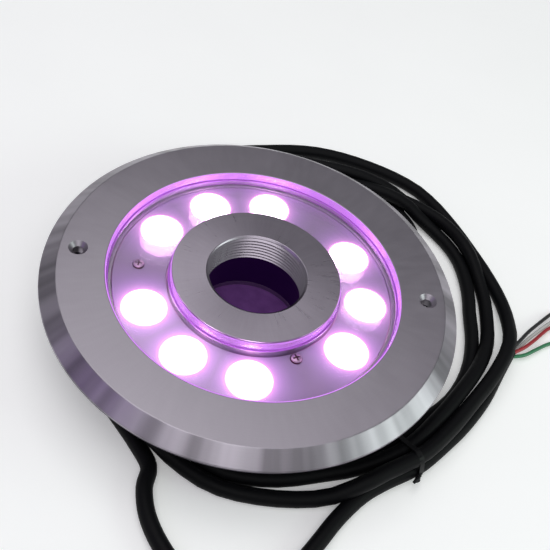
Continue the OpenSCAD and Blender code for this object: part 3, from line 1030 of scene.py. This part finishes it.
    def tie(self) -> bpy.types.Object:
        """The flat tie round the bundle, with its two ends twisted together outside."""
        a = math.radians(self.tie_angle)
        out = Vector((math.cos(a), math.sin(a), 0))
        start = Vector((self.centre[0], self.centre[1], 0))
        high = 120.3
        shape = [
            (99.0, 1.4), (108.0, 1.4), (116.4, 1.4), (119.3, 2.2), (high, 4.6), (119.8, 7.8), (118.5, 11.6),
            (116.8, 14.3), (114.2, 15.2), (112.4, 15.0), (105.1, 11.8), (97.9, 8.5), (96.0, 6.6), (95.6, 4.6),
            (96.2, 2.6), (97.5, 1.7),
        ]
        across = Vector((-out.y, out.x, 0))
        bm = bmesh.new()
        for side in (-1.3, 1.3):
            ring = [bm.verts.new(start + out * r + across * side + Vector((0, 0, z))) for r, z in shape]
            for pair in zip(ring, ring[1:] + ring[:1]):
                bm.edges.new(pair)
        bmesh.ops.bridge_loops(bm, edges=bm.edges)
        bmesh.ops.recalc_face_normals(bm, faces=bm.faces)
        bmesh.ops.subdivide_edges(bm, edges=bm.edges, cuts=1, smooth=0.25)
        bmesh.ops.solidify(bm, geom=list(bm.faces), thickness=0.5)
        twist = []
        for phase in (0.0, math.pi):
            end = start + out * (high - 0.6) + Vector((0, 0, 5))
            for k in range(22):
                t = k / 21
                turn = phase + t * 3.0 * math.pi
                opened = 0.9 + 1.6 * max(0.0, t - 0.65)
                spot = end + out * (2.6 * t) + across * (math.cos(turn) * opened - 4.4 * t)
                spot += Vector((0, 0, math.sin(turn) * opened * 0.8 + 1.0 * t))
                twist.append((phase, spot))
        parts = [bm]
        for phase in (0.0, math.pi):
            path = [spot for p, spot in twist if p == phase]
            for a0, b0 in zip(path, path[1:]):
                bead = turned([(0.0, -0.1), (0.75, -0.1), (0.75, (b0 - a0).length + 0.1),
                               (0.0, (b0 - a0).length + 0.1)], 10)
                turn = (b0 - a0).to_track_quat("Z", "Y").to_matrix().to_4x4()
                bmesh.ops.transform(bead, matrix=Matrix.Translation(a0) @ turn, verts=bead.verts)
                parts.append(bead)
        return to_object(joined(parts), "twist_tie", 45)

    def build(self) -> None:
        points = self.route()
        rubber = Moulded((0.0025, 0.0025, 0.0035), 0.55, 900, 0.015, specular=0.12).material("cable_rubber")
        cable = dress(
            wire("cable", points, self.diameter / 2), Slot.RUBBER, rubber,
            "cable_lead", "cable_coil", "cable_loop",
        )
        pieces = [dress(self.jacket(points), Slot.RUBBER, rubber)]
        for name, colour, route in self.cores:
            end, before = Vector(route[-1]), Vector(route[-2])
            shortened = (*route[:-1], tuple(end - (end - before).normalized() * self.bare * 0.8))
            core = wire(f"core_{name}", smooth_route(shortened, 5), self.core_radius)
            material = Moulded(colour, 0.38, 2600, 0.006).material(f"core_{name}")
            pieces.append(dress(core, Slot.CORE, material, *(["cable_cores"] if name == "black" else [])))
        pieces.append(dress(self.tips(), Slot.CORE, Stranded().material("bare_copper")))
        tie = Moulded((0.004, 0.004, 0.005), 0.45, 1500, 0.01, specular=0.2).material("tie_plastic")
        pieces.append(dress(self.tie(), Slot.TIE, tie, "coil_tie"))
        tuple(points[0] * MM)


# ---------- fasteners ----------


@dataclass(frozen=True)
class Screw:
    """A small machine screw, its head upwards on height 0.

    Attributes:
        head: The head's radius.
        rise: The head's height, or how deep a sunk head goes.
        shank: How far the shank reaches down.
        sunk: Whether the head is a cone that lies flush.
    """

    head: float
    rise: float
    shank: float
    sunk: bool = False
    radius: float = 1.45

    def build(self) -> bmesh.types.BMesh:
        """The screw as a bmesh."""
        if self.sunk:
            outline = [(0, 0), (self.head, 0), (self.head, -0.2), (self.radius, -self.rise)]
            top = 0.0
        else:
            outline = [
                (0, self.rise), (self.head * 0.45, self.rise - 0.06), (self.head * 0.8, self.rise * 0.8),
                (self.head, self.rise * 0.42), (self.head, 0), (self.radius, 0),
            ]
            top = self.rise
        outline += [(self.radius, -self.shank + 0.3), (self.radius - 0.3, -self.shank), (0, -self.shank)]
        body = turned(outline, 32)
        for turn in (0, math.pi / 2):
            slot = block((-self.head * 0.62, -0.4, top - 0.95), (self.head * 0.62, 0.4, top + 1))
            bmesh.ops.rotate(slot, cent=(0, 0, 0), matrix=Matrix.Rotation(turn, 3, "Z"), verts=slot.verts)
            body = combined(body, slot, "DIFFERENCE")
        return body


def flipped(bm: bmesh.types.BMesh) -> bmesh.types.BMesh:
    """The same solid turned upside down about +X."""
    bmesh.ops.rotate(bm, cent=(0, 0, 0), matrix=Matrix.Rotation(math.pi, 3, "X"), verts=bm.verts)
    return bm


# ---------- the lamp's outside ----------


@dataclass
class FaceRing:
    """The steel ring with its bevelled rim, two countersunk holes and six blind tapped ones."""

    radius: float = 100.0
    flat_radius: float = 92.4
    window: float = 70.7
    wall: float = 69.2
    top: float = 40.0
    drop: float = 5.66
    under: float = 33.0
    ledge: float = 35.4
    hole_offset: float = 84.0
    hole: float = 2.5
    sink: float = 4.5
    screw_radius: float = 76.5

    def mesh(self) -> bpy.types.Object:
        """Builds the ring."""
        bm = turned(
            [
                (self.window, self.top), (self.flat_radius, self.top), (self.radius, self.top - self.drop),
                (self.radius, self.under), (self.wall, self.under), (self.wall, self.ledge),
                (self.window, self.ledge),
            ], 256, 0.28,
        )
        depth = self.sink - self.hole
        holes = turned(
            [(0, self.under - 2), (self.hole, self.under - 2), (self.hole, self.top - depth),
             (self.sink + 0.1, self.top + 0.1), (self.sink + 0.1, self.top + 1), (0, self.top + 1)], 48)
        bm = combined(bm, spread(holes, around(self.hole_offset, (0, 180))), "DIFFERENCE")
        blind = prism(24, 1.6, self.under - 1, self.under + 4.2)
        bm = combined(bm, spread(blind, around(self.screw_radius, RING_SCREWS)), "DIFFERENCE")
        return to_object(bm, "face_ring_turned", 6)

    def build(self) -> None:
        """Builds and dresses the ring."""
        # Painted reflections as light and dark patches on the bevel past the flat radius, and painted shade
        # on everything lower than the bevel's foot.
        steel = TurnedSteel(painted_streaks=3.6, rim=self.flat_radius, foot=self.top - self.drop - 0.4)
        dress(self.mesh(), Slot.FACE, steel.material("face_steel"), "face_ring")


@dataclass
class NozzleSleeve:
    """The sleeve in the middle, with its M48 x 2 internal thread."""

    face: float = 40.3
    top: float = 41.0
    minor: float = 22.9
    major: float = 24.0
    pitch: float = 2.0
    thread_foot: float = 26.7
    relief: float = 24.6
    lip: float = 21.5
    passage: float = 27.5
    base: float = 3.0
    ledge_radius: float = 41.8
    ledge_top: float = 35.4
    ledge_under: float = 29.5
    neck: float = 31.0
    foot: float = 38.0
    screw_radius: float = 34.5

    def tap(self) -> bmesh.types.BMesh:
        """The helical ridge that cuts the thread."""
        steps = 96
        turns = 8.5
        bm = bmesh.new()
        half = self.pitch * 0.47
        outline = [
            (self.minor - 0.6, -half), (self.minor - 0.02, -half), (self.major, -0.14),
            (self.major, 0.14), (self.minor - 0.02, half), (self.minor - 0.6, half),
        ]
        start = self.thread_foot - 1.5
        ring = [bm.verts.new((r, 0, start + z)) for r, z in outline]
        face = bm.faces.new(ring)
        bmesh.ops.spin(
            bm, geom=[face], cent=(0, 0, 0), axis=(0, 0, 1), angle=math.tau * turns,
            steps=int(steps * turns), dvec=(0, 0, self.pitch / steps), use_merge=False,
        )
        bmesh.ops.recalc_face_normals(bm, faces=bm.faces)
        return bm

    def mesh(self) -> bpy.types.Object:
        """Builds the sleeve and cuts its thread."""
        chamfer = self.major - self.minor + 0.3
        bm = turned(
            [
                (self.minor + chamfer, self.top), (self.face, self.top), (self.face, self.ledge_top),
                (self.ledge_radius, self.ledge_top), (self.ledge_radius, self.ledge_under),
                (self.neck, self.ledge_under - 3), (self.neck, self.base + 5), (self.foot, self.base + 5),
                (self.foot, self.base), (self.passage, self.base), (self.passage, self.lip - 0.6),
                (self.relief, self.lip), (self.relief, self.thread_foot), (self.minor, self.thread_foot),
                (self.minor, self.top - chamfer),
            ], 192, 0.16,
        )
        bm = combined(bm, self.tap(), "DIFFERENCE")
        blind = prism(24, 1.6, self.base - 1, self.base + 4.2)
        bm = combined(bm, spread(blind, around(self.screw_radius, SLEEVE_SCREWS)), "DIFFERENCE")
        return to_object(bm, "nozzle_sleeve_threaded", 6)

    def build(self) -> None:
        """Builds and dresses the sleeve."""
        # Painted shade: the bore under the thread is coloured dark violet, its shade with the lamp's tint in
        # it.
        finish = TurnedSteel(
            colour=(0.38, 0.34, 0.40), roughness=0.30, foot=self.thread_foot, deep=(0.10, 0.03, 0.17),
            anisotropy=0.5,
        )
        dress(self.mesh(), Slot.FACE, finish.material("sleeve_steel"), "nozzle_sleeve")


@dataclass
class Window:
    """The glass annulus with its two gaskets and its two beads of sealant."""

    inner: float = 40.8
    outer: float = 70.2
    top: float = 40.0
    under: float = 36.0
    ledge: float = 35.4

    def build(self) -> None:
        """Builds and dresses the glass and what seals it."""
        bm = turned(
            [
                (self.inner, self.under), (self.outer, self.under), (self.outer, self.top),
                (self.inner, self.top),
            ], 192, 0.3,
        )
        glass = ClearGlass().material("window_glass")
        dress(to_object(bm, "glass_annulus"), Slot.GLASS, glass, "glass_window")
        # The gaskets' lilac tone and glow are painted lamp light.
        rubber = Moulded((0.31, 0.095, 0.44), 0.6, 1800, 0.01, 0.0, 0.5).material("gasket_rubber")
        for name, a, b in (("outer_glass_gasket", 69.2, 70.68), ("inner_glass_gasket", 40.32, 41.8)):
            bm = turned([(a, self.ledge), (b, self.ledge), (b, self.under), (a, self.under)], 160, 0.12)
            dress(to_object(bm, f"{name}_moulded"), Slot.SEAL, rubber, name)
        beads = []
        for a, b in ((40.3, self.inner), (self.outer, 70.7)):
            middle = (a + b) / 2
            beads.append(
                turned([(a, self.under), (b, self.under), (b, self.top - 0.15), (middle, self.top - 0.45),
                        (a, self.top - 0.15)], 192))
        # The clear sealant's pink-lilac tone and glow are painted lamp light.
        clear = Moulded((0.62, 0.28, 0.80), 0.3, 900, 0.02, 0.0, 0.42).material("clear_sealant")
        dress(to_object(joined(beads), "sealant_beads"), Slot.SEALANT, clear, "window_sealant")


@dataclass
class Housing:
    """The drawn shell under the ring, its base plate and screws."""

    shell: float = 70.5
    inside: float = 67.7
    flange: float = 79.5
    flange_under: float = 29.5
    top: float = 33.0
    base: float = 3.0
    foot: float = 60.0
    passage: float = 27.5
    ring_screw_radius: float = 76.5
    base_screw_radius: float = 64.5
    sleeve_screw_radius: float = 34.5
    post_radius: float = 56.0
    gland_angle: float = 35.0
    gland_height: float = 13.0

    def on_gland(self, bm: bmesh.types.BMesh) -> bmesh.types.BMesh:
        """Turns a piece that stands on +Z to the gland's axis."""
        turn = Matrix.Rotation(math.radians(self.gland_angle), 4, "Z") @ Matrix.Rotation(math.pi / 2, 4, "Y")
        place = Matrix.Translation((0, 0, self.gland_height)) @ turn
        bmesh.ops.transform(bm, matrix=place, verts=bm.verts)
        return bm

    def shell_mesh(self) -> bpy.types.Object:
        """Builds the shell with its gland boss."""
        bm = turned(
            [
                (self.inside, self.top), (71.0, self.top), (71.0, self.top - 1.5), (73.0, self.top - 1.5),
                (73.0, self.top), (self.flange, self.top), (self.flange, self.flange_under),
                (self.shell, self.flange_under), (self.shell, self.base), (self.foot, self.base),
                (self.foot, self.base + 4), (self.inside, self.base + 4),
            ], 192, 0.3,
        )
        boss = turned([(0, 66.5), (10.5, 66.5), (10.5, 76.5), (0, 76.5)], 64, 0.4)
        bm = combined(bm, self.on_gland(boss), "UNION")
        bm = combined(bm, self.on_gland(prism(48, 8.0, 69.7, 90)), "DIFFERENCE")
        bm = combined(bm, self.on_gland(prism(48, 5.6, 60, 90)), "DIFFERENCE")
        ring = prism(24, 1.6, self.flange_under - 1, self.top + 1)
        bm = combined(bm, spread(ring, around(self.ring_screw_radius, RING_SCREWS)), "DIFFERENCE")
        return to_object(bm, "housing_shell_drawn", 28)

    def base_mesh(self) -> bpy.types.Object:
        """Builds the base plate with its countersunk holes."""
        inner, outer = self.passage, self.shell
        bm = turned([(inner, 0), (outer, 0), (outer, self.base), (inner, self.base)], 192, 0.25)
        sink = turned([(0, -1), (3.0, -1), (3.0, 0), (1.6, 1.7), (1.6, 5), (0, 5)], 32)
        places = around(self.base_screw_radius, BASE_SCREWS)
        places += around(self.sleeve_screw_radius, SLEEVE_SCREWS)
        places += around(self.post_radius, SPREADER_POSTS)
        return to_object(combined(bm, spread(sink, places), "DIFFERENCE"), "base_plate_turned", 28)

    def build(self) -> None:
        """Builds and dresses the housing."""
        finish = TurnedSteel(colour=(0.42, 0.42, 0.43), roughness=0.38, anisotropy=0.4)
        steel = finish.material("housing_steel")
        screw = CastMetal((0.60, 0.59, 0.60), 0.3).material("screw_steel")
        dress(self.shell_mesh(), Slot.HOUSING, steel, "housing_shell")
        dress(self.base_mesh(), Slot.HOUSING, steel, "base_plate")
        sets = (
            ("ring_screw", Screw(2.75, 2.0, 7.4), self.ring_screw_radius, RING_SCREWS, self.flange_under),
            ("base_screw", Screw(2.8, 1.6, 6.0, True), self.base_screw_radius, BASE_SCREWS, 0.0),
            ("sleeve_screw", Screw(2.8, 1.6, 7.0, True), self.sleeve_screw_radius, SLEEVE_SCREWS, 0.0),
        )
        for name, kind, radius, angles, height in sets:
            mesh = spread(flipped(kind.build()), around(radius, angles, height))
            dress(to_object(mesh, f"{name}_set"), Slot.SCREW, screw, f"{name}s")


@dataclass
class Gland:
    """The cable gland at the back: body, clamping nut, and a dome that grips the cable."""

    housing: Housing = field(default_factory=Housing)
    tip: float = 97.0
    cable: float = 3.75

    def build(self) -> None:
        """Builds and dresses the gland."""
        nylon = Moulded((0.025, 0.025, 0.028), 0.45, 1500, 0.02).material("gland_nylon")
        on_gland = self.housing.on_gland
        thread = [(7.9 if k % 2 else 7.3, 69.9 + 0.75 * k) for k in range(11)]
        body = joined([
            turned([(4.0, 69.9), *thread, (7.3, 78.0), (4.0, 78.0)], 64),
            prism(6, 10.9, 77.5, 82.0, 0.5),
            turned([(4.0, 81.5), (8.0, 81.5), (8.0, 83.2), (6.3, 83.2), (6.3, 89.0), (6.0, 89.0),
                    (4.0, 83.0)], 64),
        ])
        dress(to_object(on_gland(body), "gland_body_moulded", 40), Slot.GLAND, nylon, "gland_body")
        rib = block((8.3, -0.55, 84.0), (9.7, 0.55, 88.5), 0.2)
        ribs = spread(rib, around(0, [15 * k for k in range(24)]))
        nut = joined([
            prism(6, 10.9, 82.5, 87.0, 0.6),
            turned([(8.05, 82.6), (9.2, 86.0), (9.2, 89.5), (8.6, 92.6), (7.2, 94.9), (5.2, self.tip - 0.2),
                    (4.6, self.tip), (4.05, self.tip - 0.5), (4.05, 90.4), (6.4, 90.2), (6.4, 84.0)], 64),
            ribs,
        ])
        dress(to_object(on_gland(nut), "gland_nut_moulded", 40), Slot.GLAND, nylon, "gland_nut")


# ---------- under the glass ----------


@dataclass
class LensPlate:
    """The satin plate with its nine lenses in holders, and the screws and posts that hold it."""

    turn: float = -2.0
    pitch_radius: float = 54.8
    step: float = 33.0
    holder: float = 10.8
    top: float = 32.2
    thickness: float = 1.5
    inner: float = 42.2
    outer: float = 67.3
    base: float = 23.8
    board: float = 20.2
    screws: tuple[tuple[float, float], ...] = ((60, 45.5), (180, 56), (300, 45.5))

    def angles(self) -> list[float]:
        """The lenses' directions, in three groups of three."""
        return [self.turn + 120 * g + self.step * k for g in range(3) for k in (-1, 0, 1)]

    def centres(self) -> tuple[tuple[float, float], ...]:
        """The lenses' centres."""
        return tuple(
            (self.pitch_radius * math.cos(math.radians(a)), self.pitch_radius * math.sin(math.radians(a)))
            for a in self.angles()
        )

    def screw_places(self, height: float) -> list[Matrix]:
        """Where the plate's screws stand."""
        return [m for a, r in self.screws for m in around(r, [a + self.turn], height)]

    def plate_mesh(self) -> bpy.types.Object:
        """Builds the plate with its holes."""
        low = self.top - self.thickness
        inner, outer = self.inner, self.outer
        bm = turned([(inner, low), (outer, low), (outer, self.top), (inner, self.top)], 160, 0.2)
        hole = prism(64, self.holder + 0.15, low - 2, self.top + 2)
        holes = spread(hole, around(self.pitch_radius, self.angles()))
        bm = combined(bm, holes, "DIFFERENCE")
        small = spread(prism(24, 1.6, low - 2, self.top + 2), self.screw_places(0))
        return to_object(combined(bm, small, "DIFFERENCE"), "lens_plate_cut", 28)

    def lens_mesh(self, index: int) -> bpy.types.Object:
        """Builds one lens, a cone that widens from its LED to a lightly domed face."""
        r = self.holder - 0.6
        bm = turned(
            [
                (0, self.base + 3.4), (3.2, self.base + 2.6), (3.2, self.base), (4.9, self.base),
                (8.2, self.base + 3.6), (r, self.top - 1.2), (r, self.top), (r - 0.5, self.top + 0.25),
                (r * 0.72, self.top + 0.42), (r * 0.36, self.top + 0.52), (0, self.top + 0.55),
            ], 64,
        )
        place = around(self.pitch_radius, [self.angles()[index - 1]])[0]
        bmesh.ops.transform(bm, matrix=place, verts=bm.verts)
        return to_object(bm, f"lens_{index}_moulded", 40)

    def holder_mesh(self) -> bpy.types.Object:
        """Builds the nine holders."""
        r = self.holder - 0.6
        bm = turned(
            [
                (r, self.top), (self.holder, self.top), (self.holder, self.top - 2), (9.4, self.base + 3.4),
                (6.6, self.base - 0.9), (6.6, self.board), (5.3, self.board), (5.3, self.base),
                (8.4, self.base + 3.4), (r, self.top - 1.4),
            ], 64, 0.1,
        )
        return to_object(spread(bm, around(self.pitch_radius, self.angles())), "lens_holder_set", 30)

    def build(self) -> None:
        """Builds and dresses all that shows through the glass."""
        light = LampLight(self.centres(), self.holder - 0.6)
        # The plate's grey is the aluminium's own; its lilac tint and its glow round the lenses are painted
        # lamp light.
        plate = light.lit("plate_aluminium", (0.42, 0.36, 0.46), 0.45, 0.55, 0.40, 0.85)
        dress(self.plate_mesh(), Slot.PLATE, plate, "lens_plate")
        lens = light.lens_material("lens_acrylic")
        for index in range(1, 10):
            dress(self.lens_mesh(index), Slot.LENS, lens, f"lens_{index}")
        # The holders' glow round the lenses is painted lamp light.
        holder = light.lit("holder_plastic", (0.85, 0.72, 0.84), 0.0, 0.4, 0.6, 1.6)
        dress(self.holder_mesh(), Slot.HOLDER, holder, "lens_holders")
        # The screws' pink tint is painted lamp light, and the lower rims of their heads are painted shade.
        screw = CastMetal((0.62, 0.45, 0.58), 0.4, foot=self.top + 0.9).material("plate_screw_steel")
        heads = spread(Screw(2.85, 1.6, 6.5).build(), self.screw_places(self.top))
        dress(to_object(heads, "lens_plate_screw_set"), Slot.SCREW, screw, "lens_plate_screws")
        posts = turned([(1.5, 18.1), (2.9, 18.1), (2.9, 30.7), (1.5, 30.7)], 6)
        brass = CastMetal((0.70, 0.52, 0.25), 0.32).material("brass_standoff")
        dress(to_object(spread(posts, self.screw_places(0)), "lens_plate_post_set", 20), Slot.BRASS, brass,
              "lens_plate_posts")
        redress("spreader_posts", brass)
        redress("driver_spacers", brass)


@dataclass
class Inside:
    """The boards and what stands on them, which keep the shapes that they have."""

    def build(self) -> None:
        """Gives each hidden piece its finish."""
        rubber = Moulded((0.02, 0.018, 0.022), 0.6, 1800, 0.01).material("o_ring_rubber")
        for node in ("housing_o_ring", "base_o_ring", "sleeve_o_ring", "gland_o_ring", "gland_seal"):
            redress(node, rubber)
        screw = CastMetal((0.60, 0.59, 0.60), 0.3).material("board_screw_steel")
        for node in ("spreader_screws", "driver_screws"):
            redress(node, screw)
        emitter = Moulded((1.0, 0.82, 0.95), 0.3, 900, 0.0, 0.0, 1.5).material("led_emitter")
        for index in range(1, 10):
            redress(f"led_{index}", emitter)
        finishes = {
            "led_board": Moulded((0.82, 0.80, 0.80), 0.35, 1500, 0.01, 0.2),
            "thermal_pad": Moulded((0.45, 0.50, 0.58), 0.75, 2200, 0.02),
            "driver_board": Moulded((0.02, 0.16, 0.06), 0.32, 1500, 0.012, 0.3),
            "driver_inductors": Moulded((0.07, 0.07, 0.075), 0.6, 1500, 0.02),
            "driver_chips": Moulded((0.02, 0.02, 0.022), 0.5, 2500, 0.01),
            "wire_terminal": Moulded((0.03, 0.30, 0.10), 0.42, 1500, 0.01),
            "inner_cores": Moulded((0.10, 0.09, 0.10), 0.4, 2500, 0.006),
            "led_wires": Moulded((0.70, 0.66, 0.52), 0.4, 2500, 0.006),
            "driver_capacitors": CastMetal((0.50, 0.53, 0.58), 0.3),
            "heat_spreader": CastMetal((0.66, 0.66, 0.67), 0.38),
        }
        for node, finish in finishes.items():
            redress(node, finish.material(node))


def main() -> None:
    """Builds the studio, the cable and the lamp."""
    logging.basicConfig(level=logging.INFO, format="%(message)s")
    Studio().build()
    Cable().build()
    for part in (FaceRing(), NozzleSleeve(), Window(), Housing(), Gland(), LensPlate(), Inside()):
        LOG.info("building %s", type(part).__name__)
        part.build()


if __name__ == "__main__":
    main()
